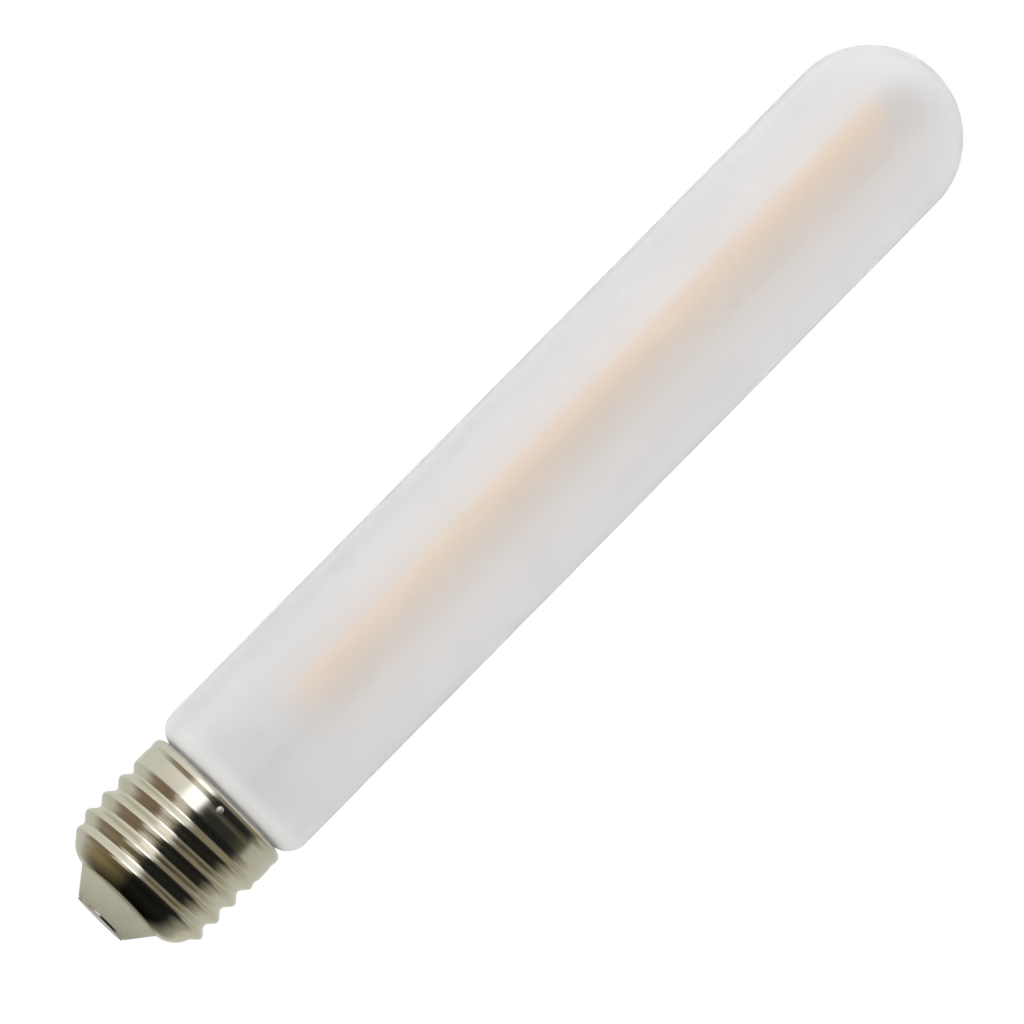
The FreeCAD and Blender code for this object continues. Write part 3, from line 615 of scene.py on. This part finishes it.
def phosphor_silicone(name, colour, glow):
    """Silicone full of phosphor, cast over the strip: satin, grainy, paler over each chip, with a
    painted amber glow.
    """
    material, tree, place = new_material(name)
    parts = add(tree, "ShaderNodeSeparateXYZ", {"Vector": place})
    # chips sit every 1.7 mm under the coat
    pulse = add(
        tree,
        "ShaderNodeMath",
        {0: parts.outputs["Z"], 1: 2 * math.pi * per_metre(1.7)},
        operation="MULTIPLY",
    )
    chip = add(tree, "ShaderNodeMath", {0: pulse.outputs[0]}, operation="SINE").outputs[0]
    share = add(
        tree,
        "ShaderNodeMapRange",
        {"Value": chip, "From Min": 0.2, "From Max": 0.9, "To Min": 0.0, "To Max": 0.35},
    )
    # phosphor grains are about 0.015 mm wide, drawn at 0.15 mm to show
    grain = add(tree, "ShaderNodeTexNoise", {"Vector": place, "Scale": per_metre(0.15)})
    body = mottled(tree, grain.outputs["Fac"], colour, darker(colour, (0.97, 0.88, 0.76)))
    tones = {"Factor": share.outputs["Result"], 6: body, 7: rgba(linear("#FFDFB0"))}
    relief = {"Height": grain.outputs["Fac"], "Distance": 0.02 * MM, "Strength": 0.4}
    shader = add(
        tree,
        "ShaderNodeBsdfPrincipled",
        {
            "Base Color": add(tree, "ShaderNodeMix", tones, data_type="RGBA").outputs[2],
            "Roughness": 0.45,
            "IOR": 1.41,
            # painted glow: phosphor turns the blue in room light to amber, and here the coat is
            # given that amber light as its own, so it looks lit from inside
            "Emission Color": rgba(linear("#FFC454")),
            "Emission Strength": glow,
            "Normal": add(tree, "ShaderNodeBump", relief).outputs["Normal"],
        },
    )
    add(tree, "ShaderNodeOutputMaterial", {"Surface": shader.outputs[0]})
    return material


def speckled(name, light, dark, grain_mm, roughness, ior, depth_mm):
    """Dull solid finish with its own grain, for the strips' ceramic and the driver's pieces."""
    material, tree, place = new_material(name)
    grain = add(
        tree,
        "ShaderNodeTexNoise",
        {"Vector": place, "Scale": per_metre(grain_mm), "Detail": 3.0},
    )
    relief = {"Height": grain.outputs["Fac"], "Distance": depth_mm * MM, "Strength": 0.4}
    shader = add(
        tree,
        "ShaderNodeBsdfPrincipled",
        {
            "Base Color": mottled(tree, grain.outputs["Fac"], linear(light), linear(dark)),
            "Roughness": roughness,
            "IOR": ior,
            "Normal": add(tree, "ShaderNodeBump", relief).outputs["Normal"],
        },
    )
    add(tree, "ShaderNodeOutputMaterial", {"Surface": shader.outputs[0]})
    return material


def dress(names, material):
    """Gives the material to every slot of the named nodes."""
    for name in names:
        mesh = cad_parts[name].data
        if not len(mesh.materials):
            mesh.materials.append(material)
        for slot in range(len(mesh.materials)):
            mesh.materials[slot] = material


def solder_bead(width, material):
    """Drop of solder on the collar: slumped a little, wrinkled, its shank through the shell."""
    solid = [vertex.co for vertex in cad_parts["side_solder"].data.vertices]
    middle = (BEAD_LOW + BEAD_HIGH) / 2
    upwards = Vector((0, 0, 1))
    out = Vector((middle.x, middle.y, 0)).normalized()
    aside = upwards.cross(out)
    top = max(point.dot(out) for point in solid)
    foot = min(point.dot(out) for point in solid)
    seat = top - BEAD_DOME
    # half profile from the shank's end over the drop's edge towards its top: radius and distance
    # from the bulb's axis; the drop is tucked in under its edge and is fuller than a ball
    profile = [(BEAD_SHANK / 2, foot), (BEAD_SHANK / 2, seat), (0.45 * width, seat)]
    for row in range(1, BEAD_ROWS):
        swing = math.radians(90 * row / BEAD_ROWS)
        profile.append((width / 2 * math.cos(swing) ** 0.8, seat + BEAD_DOME * math.sin(swing)))
    points, faces = [], []
    for row, (radius, reach) in enumerate(profile):
        for step in range(BEAD_TURNS):
            angle = math.tau * step / BEAD_TURNS
            sideways, rise = math.cos(angle), math.sin(angle)
            # a few broad wrinkles round the drop, which change slowly towards its top
            wave = noise.noise((1.4 * sideways, 1.4 * rise, 0.25 * row))
            # the drop slumps: its upper half is a little narrower and lower than its foot
            slump = BEAD_SLUMP * (1 + rise) / 2
            if row > 1:
                near = radius * (1 - BEAD_WRINKLE_ACROSS * (1 - wave) - slump)
                far = seat + (reach - seat) * (1 - BEAD_WRINKLE_OUT * (1 - wave) - slump)
            else:
                near, far = radius, reach
            across = near * (sideways * aside + rise * upwards)
            points.append(middle.z * upwards + far * out + across)
    for row in range(len(profile) - 1):
        low, high = row * BEAD_TURNS, (row + 1) * BEAD_TURNS
        for step in range(BEAD_TURNS):
            after = (step + 1) % BEAD_TURNS
            faces.append((low + step, low + after, high + after, high + step))
    faces.append(tuple(reversed(range(BEAD_TURNS))))
    last = (len(profile) - 1) * BEAD_TURNS
    crown = seat + BEAD_DOME * (1 - BEAD_WRINKLE_OUT - BEAD_SLUMP / 2)
    points.append(middle.z * upwards + crown * out)
    for step in range(BEAD_TURNS):
        faces.append((last + step, last + (step + 1) % BEAD_TURNS, len(points) - 1))
    mesh = bpy.data.meshes.new("solder_bead")
    mesh.from_pydata(points, [], faces)
    mesh.validate()
    mesh.shade_smooth()
    mesh.materials.append(material)
    bead = bpy.data.objects.new("solder_bead", mesh)
    bpy.context.scene.collection.objects.link(bead)
    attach(bead, "root")
    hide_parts("side_solder")


class BULB_OT_glass(bpy.types.Operator):
    """Finishes the frosted envelope and the drawn glass inside it"""

    bl_idname = "bulb.glass"
    bl_label = "Glass"

    def execute(self, context):
        dress(["glass_envelope"], frosted_glass(context.scene.bulb_colours.glass))
        dress(["stem", "exhaust_tube", "support_rod"], stem_glass())
        return {"FINISHED"}


class BULB_OT_cap(bpy.types.Operator):
    """Finishes the screw shell, the contact, the insulator and the cement"""

    bl_idname = "bulb.cap"
    bl_label = "Cap"

    def execute(self, context):
        colours = context.scene.bulb_colours
        dress(["screw_shell"], plated_nickel(colours.nickel))
        dress(["centre_contact"], stamped_nickel())
        dress(["insulator"], moulded_plastic(colours.insulator))
        dress(["basing_cement"], baked_cement())
        return {"FINISHED"}


class BULB_OT_solder(bpy.types.Operator):
    """Sets the solder bead on the cap's collar"""

    bl_idname = "bulb.solder"
    bl_label = "Solder bead"

    def execute(self, context):
        solder_bead(context.scene.bulb_sizes.bead_diameter, tin_solder())
        return {"FINISHED"}


class BULB_OT_strips(bpy.types.Operator):
    """Finishes the light strips, their clips and their wires"""

    bl_idname = "bulb.strips"
    bl_label = "Light strips"

    def execute(self, context):
        colours = context.scene.bulb_colours
        front = phosphor_silicone("phosphor_silicone_cast", colours.phosphor, 0.32)
        # painted shade: the strip behind gets a paler coat colour and a weaker painted glow than
        # the one in front, as if it lay in shadow further back
        behind = phosphor_silicone("phosphor_silicone_cast_painted_shade", colours.phosphor_behind_painted_shade, 0.1)
        dress(["filament_2_coat"], front)
        dress(["filament_1_coat"], behind)
        # sintered alumina: dull white with a fine grain
        ceramic = speckled("alumina_sintered", "#EDEBE4", "#DAD6CC", 0.3, 0.55, 1.76, 0.01)
        dress(["filament_1_substrate", "filament_2_substrate"], ceramic)
        clip = lined_metal("nickel_plated_steel_pressed", "#BEBBB2", "#8F8B80")
        clips = [f"filament_{n}_{end}_clip" for n in (1, 2) for end in ("lower", "upper")]
        dress(clips, clip)
        wire = lined_metal("nickel_wire_drawn", "#A9A59C", "#7D766A")
        dress(["lead_wire_1", "lead_wire_2", "bridge_wire", "contact_lead", "shell_lead"], wire)
        return {"FINISHED"}


class BULB_OT_driver(bpy.types.Operator):
    """Finishes the driver board and the pieces on it"""

    bl_idname = "bulb.driver"
    bl_label = "Driver"

    def execute(self, context):
        # glass epoxy under a white solder mask: satin, with the weave just felt
        board = speckled("glass_epoxy_masked", "#E9E9E4", "#D8D8D1", 0.6, 0.4, 1.5, 0.02)
        dress(["driver_board"], board)
        # shrunk sleeve: near black and a little glossy
        sleeve = speckled("pvc_sleeve_shrunk", "#23262C", "#1B1D22", 0.8, 0.35, 1.53, 0.02)
        dress(["capacitor"], sleeve)
        # dipped lacquer: grey green, with a lumpy skin
        lacquer = speckled("flameproof_lacquer_dipped", "#6F8C7B", "#5D7868", 0.4, 0.5, 1.5, 0.03)
        dress(["fuse_resistor"], lacquer)
        # moulded epoxy: black and matt, full of fine filler
        resin = speckled("epoxy_moulded", "#26272A", "#1D1E21", 0.12, 0.6, 1.55, 0.01)
        dress(["bridge_rectifier", "driver_chip"], resin)
        return {"FINISHED"}


def camera_axes():
    """World directions of picture right, picture up, back to the camera, and level to the right."""
    upwards = Vector((0, 0, 1))
    level = Vector((math.cos(CAMERA_POLAR), math.sin(CAMERA_POLAR), 0))
    back = math.cos(CAMERA_RISE) * level + math.sin(CAMERA_RISE) * upwards
    upright = math.cos(CAMERA_RISE) * upwards - math.sin(CAMERA_RISE) * level
    side = upright.cross(back)
    right = math.cos(PICTURE_LEAN) * upright + math.sin(PICTURE_LEAN) * side
    up = math.sin(PICTURE_LEAN) * upright - math.cos(PICTURE_LEAN) * side
    return right, up, back, side


def set_camera(scene, distance):
    """Long lens square to the bulb's axis, rolled so that the bulb leans as in the picture."""
    right, up, back, side = camera_axes()
    aim = Vector((0, 0, AIM_HEIGHT)) + side * AIM_ASIDE
    lens = bpy.data.cameras.new("studio_camera")
    lens.lens = lens.sensor_width * distance / (PICTURE_PIXELS / PIXELS_PER_MM * MM)
    lens.clip_start = 0.05
    lens.clip_end = 20.0
    camera = bpy.data.objects.new("studio_camera", lens)
    scene.collection.objects.link(camera)
    turn = Matrix((right, up, back)).transposed().to_4x4()
    camera.matrix_world = Matrix.Translation(aim + back * distance) @ turn
    scene.camera = camera


def add_lamp(scene, lamp, strength, mirrored):
    """Soft lamp aimed at the bulb's middle; its strength is against the white ground."""
    name, swing, height, reach, (width, length), share = lamp
    light = bpy.data.lights.new(name, "AREA")
    light.shape = "RECTANGLE"
    light.size, light.size_y = width, length
    light.energy = share * strength * math.pi * width * length
    made = bpy.data.objects.new(name, light)
    scene.collection.objects.link(made)
    polar = CAMERA_POLAR + math.radians(swing)
    made.location = Vector((reach * math.cos(polar), reach * math.sin(polar), height))
    made.rotation_euler = (made.location - LAMP_AIM).to_track_quat("Z", "Y").to_euler()
    made.visible_camera = False
    made.visible_glossy = mirrored


def studio_ring(tree, vector, stops):
    """Colour by the direction's angle round the bulb's axis, and the direction's height."""
    turned = add(
        tree,
        "ShaderNodeVectorRotate",
        {"Vector": vector, "Angle": -CAMERA_POLAR},
        rotation_type="Z_AXIS",
    )
    parts = add(tree, "ShaderNodeSeparateXYZ", {"Vector": turned.outputs[0]})
    angle = add(
        tree,
        "ShaderNodeMath",
        {0: parts.outputs["Y"], 1: parts.outputs["X"]},
        operation="ARCTAN2",
    )
    ring = [(math.radians(degrees), linear(code)) for degrees, code in stops]
    return toned(tree, angle.outputs[0], ring), parts.outputs["Z"]


def metal_view(tree, place, reach):
    """What polished metal sees in the floor: the studio round it, and the cap's own shade."""
    far, _ = studio_ring(tree, place, STUDIO_LOW)
    near, _ = studio_ring(tree, place, STUDIO_NEAR)
    outwards = add(
        tree,
        "ShaderNodeMapRange",
        {"Value": reach, "From Min": 16.5 * MM, "From Max": 19.0 * MM},
    )
    tones = {"Factor": outwards.outputs["Result"], 6: near, 7: far}
    ring = add(tree, "ShaderNodeMix", tones, data_type="RGBA")
    # close under the cap the paper lies in the cap's own shade, but the contact's face sees light
    shade = add(
        tree,
        "ShaderNodeMapRange",
        {"Value": reach, "From Min": 6.0 * MM, "From Max": 15.0 * MM, "To Min": 0.1},
    )
    face = add(
        tree,
        "ShaderNodeMapRange",
        {"Value": reach, "From Min": 4.2 * MM, "From Max": 5.6 * MM, "To Min": 0.9, "To Max": 0.0},
    )
    tones = {"Factor": face.outputs["Result"], 6: ring.outputs[2], 7: rgba(linear("#D8D9D0"))}
    pale = add(tree, "ShaderNodeMix", tones, data_type="RGBA")
    lit = add(
        tree,
        "ShaderNodeMath",
        {0: shade.outputs["Result"], 1: face.outputs["Result"]},
        operation="ADD",
    )
    view = {"Color": pale.outputs[2], "Strength": lit.outputs[0]}
    return add(tree, "ShaderNodeEmission", view)


def studio_floor_material(colour):
    """Matt paper: white to the camera past the shadow, and to glass; metal sees the studio."""
    material, tree, place = new_material("paper_matt")
    ground = rgba(linear(GROUND))
    path = add(tree, "ShaderNodeLightPath")
    fibre = add(
        tree,
        "ShaderNodeTexNoise",
        {"Vector": place, "Scale": per_metre(2.0), "Detail": 3.0},
    )
    paper = mottled(tree, fibre.outputs["Fac"], colour, darker(colour, (0.985,) * 3))
    diffuse = add(tree, "ShaderNodeBsdfDiffuse", {"Color": paper})
    reach = add(tree, "ShaderNodeVectorMath", {0: place}, operation="LENGTH").outputs["Value"]
    lift = add(
        tree,
        "ShaderNodeMapRange",
        {"Value": reach, "From Min": FLOOR_SHADE, "From Max": FLOOR_FADE, "To Min": 0.4},
    )
    seen = add(
        tree,
        "ShaderNodeMath",
        {0: lift.outputs["Result"], 1: path.outputs["Is Camera Ray"]},
        operation="MULTIPLY",
    )
    glow = add(tree, "ShaderNodeEmission", {"Color": ground, "Strength": seen.outputs[0]})
    base = add(tree, "ShaderNodeAddShader", {0: diffuse.outputs[0], 1: glow.outputs[0]})
    mirrored = metal_view(tree, place, reach)
    first = add(
        tree,
        "ShaderNodeMixShader",
        {0: path.outputs["Is Glossy Ray"], 1: base.outputs[0], 2: mirrored.outputs[0]},
    )
    white = add(tree, "ShaderNodeEmission", {"Color": ground, "Strength": 1.0})
    last = add(
        tree,
        "ShaderNodeMixShader",
        {0: path.outputs["Is Transmission Ray"], 1: first.outputs[0], 2: white.outputs[0]},
    )
    # from below, where the camera stands, the paper isn't in the way
    side = add(tree, "ShaderNodeNewGeometry")
    clear = add(tree, "ShaderNodeBsdfTransparent")
    shown = add(
        tree,
        "ShaderNodeMixShader",
        {0: side.outputs["Backfacing"], 1: last.outputs[0], 2: clear.outputs[0]},
    )
    add(tree, "ShaderNodeOutputMaterial", {"Surface": shown.outputs[0]})
    return material


def studio_floor(scene):
    """Round sheet of paper under the bulb."""
    turns = [math.tau * side / FLOOR_SIDES for side in range(FLOOR_SIDES)]
    rim = [(FLOOR_RADIUS * math.cos(t), FLOOR_RADIUS * math.sin(t), -FLOOR_DROP) for t in turns]
    mesh = bpy.data.meshes.new("studio_floor")
    mesh.from_pydata(rim, [], [list(range(FLOOR_SIDES))])
    mesh.materials.append(studio_floor_material(scene.bulb_colours.floor))
    floor = bpy.data.objects.new("studio_floor", mesh)
    scene.collection.objects.link(floor)


def set_world(scene, ambient):
    """White to the camera and to glass, a plain level for dull surfaces, the studio for gloss."""
    world = bpy.data.worlds.new("studio")
    world.use_nodes = True
    tree = world.node_tree
    tree.nodes.clear()
    path = add(tree, "ShaderNodeLightPath")
    direction = add(tree, "ShaderNodeTexCoord").outputs["Generated"]
    ring, height = studio_ring(tree, direction, STUDIO_LEVEL)
    lift = add(
        tree,
        "ShaderNodeMapRange",
        {"Value": height, "From Min": 0.15, "From Max": 0.5},
    )
    upper, _ = studio_ring(tree, direction, STUDIO_HIGH)
    tones = {"Factor": lift.outputs["Result"], 6: ring, 7: upper}
    seen = add(tree, "ShaderNodeMix", tones, data_type="RGBA")
    ground = rgba(linear(GROUND))
    plain = add(tree, "ShaderNodeBackground", {"Color": ground, "Strength": ambient})
    mirrored = add(tree, "ShaderNodeBackground", {"Color": seen.outputs[2], "Strength": 1.0})
    white = add(tree, "ShaderNodeBackground", {"Color": ground, "Strength": 1.0})
    first = add(
        tree,
        "ShaderNodeMixShader",
        {0: path.outputs["Is Glossy Ray"], 1: plain.outputs[0], 2: mirrored.outputs[0]},
    )
    through = add(
        tree,
        "ShaderNodeMath",
        {0: path.outputs["Is Camera Ray"], 1: path.outputs["Is Transmission Ray"]},
        operation="MAXIMUM",
    )
    last = add(
        tree,
        "ShaderNodeMixShader",
        {0: through.outputs[0], 1: first.outputs[0], 2: white.outputs[0]},
    )
    add(tree, "ShaderNodeOutputWorld", {"Surface": last.outputs[0]})
    scene.world = world


class BULB_OT_stage(bpy.types.Operator):
    """Sets the floor, the lamps, the world and the camera"""

    bl_idname = "bulb.stage"
    bl_label = "Stage"

    def execute(self, context):
        scene = context.scene
        sizes = scene.bulb_sizes
        studio_floor(scene)
        add_lamp(scene, KEY_LAMP, sizes.key_strength, True)
        for lamp in FILL_LAMPS:
            add_lamp(scene, lamp, sizes.fill_strength, False)
        set_world(scene, sizes.room_strength)
        set_camera(scene, sizes.camera_distance)
        scene.view_settings.view_transform = "Standard"
        return {"FINISHED"}


class BULB_PT_panel(bpy.types.Panel):
    """Lists the steps that dress the bulb"""

    bl_idname = "BULB_PT_panel"
    bl_label = "Tubular bulb"
    bl_space_type = "VIEW_3D"
    bl_region_type = "UI"
    bl_category = "Bulb"

    def draw(self, context):
        for group in (context.scene.bulb_sizes, context.scene.bulb_colours):
            for name in group.__annotations__:
                self.layout.prop(group, name)
        for step in STEPS:
            self.layout.operator(step.bl_idname)


STEPS = (
    BULB_OT_glass,
    BULB_OT_cap,
    BULB_OT_solder,
    BULB_OT_strips,
    BULB_OT_driver,
    BULB_OT_stage,
)
CLASSES = (BulbSizes, BulbColours, *STEPS, BULB_PT_panel)


def register():
    for kind in CLASSES:
        bpy.utils.register_class(kind)
    bpy.types.Scene.bulb_sizes = bpy.props.PointerProperty(type=BulbSizes)
    bpy.types.Scene.bulb_colours = bpy.props.PointerProperty(type=BulbColours)


def unregister():
    del bpy.types.Scene.bulb_colours
    del bpy.types.Scene.bulb_sizes
    for kind in reversed(CLASSES):
        bpy.utils.unregister_class(kind)


def main():
    """Runs every step in order."""
    register()
    for step in STEPS:
        family, name = step.bl_idname.split(".")
        getattr(getattr(bpy.ops, family), name)()


if __name__ == "__main__":
    main()
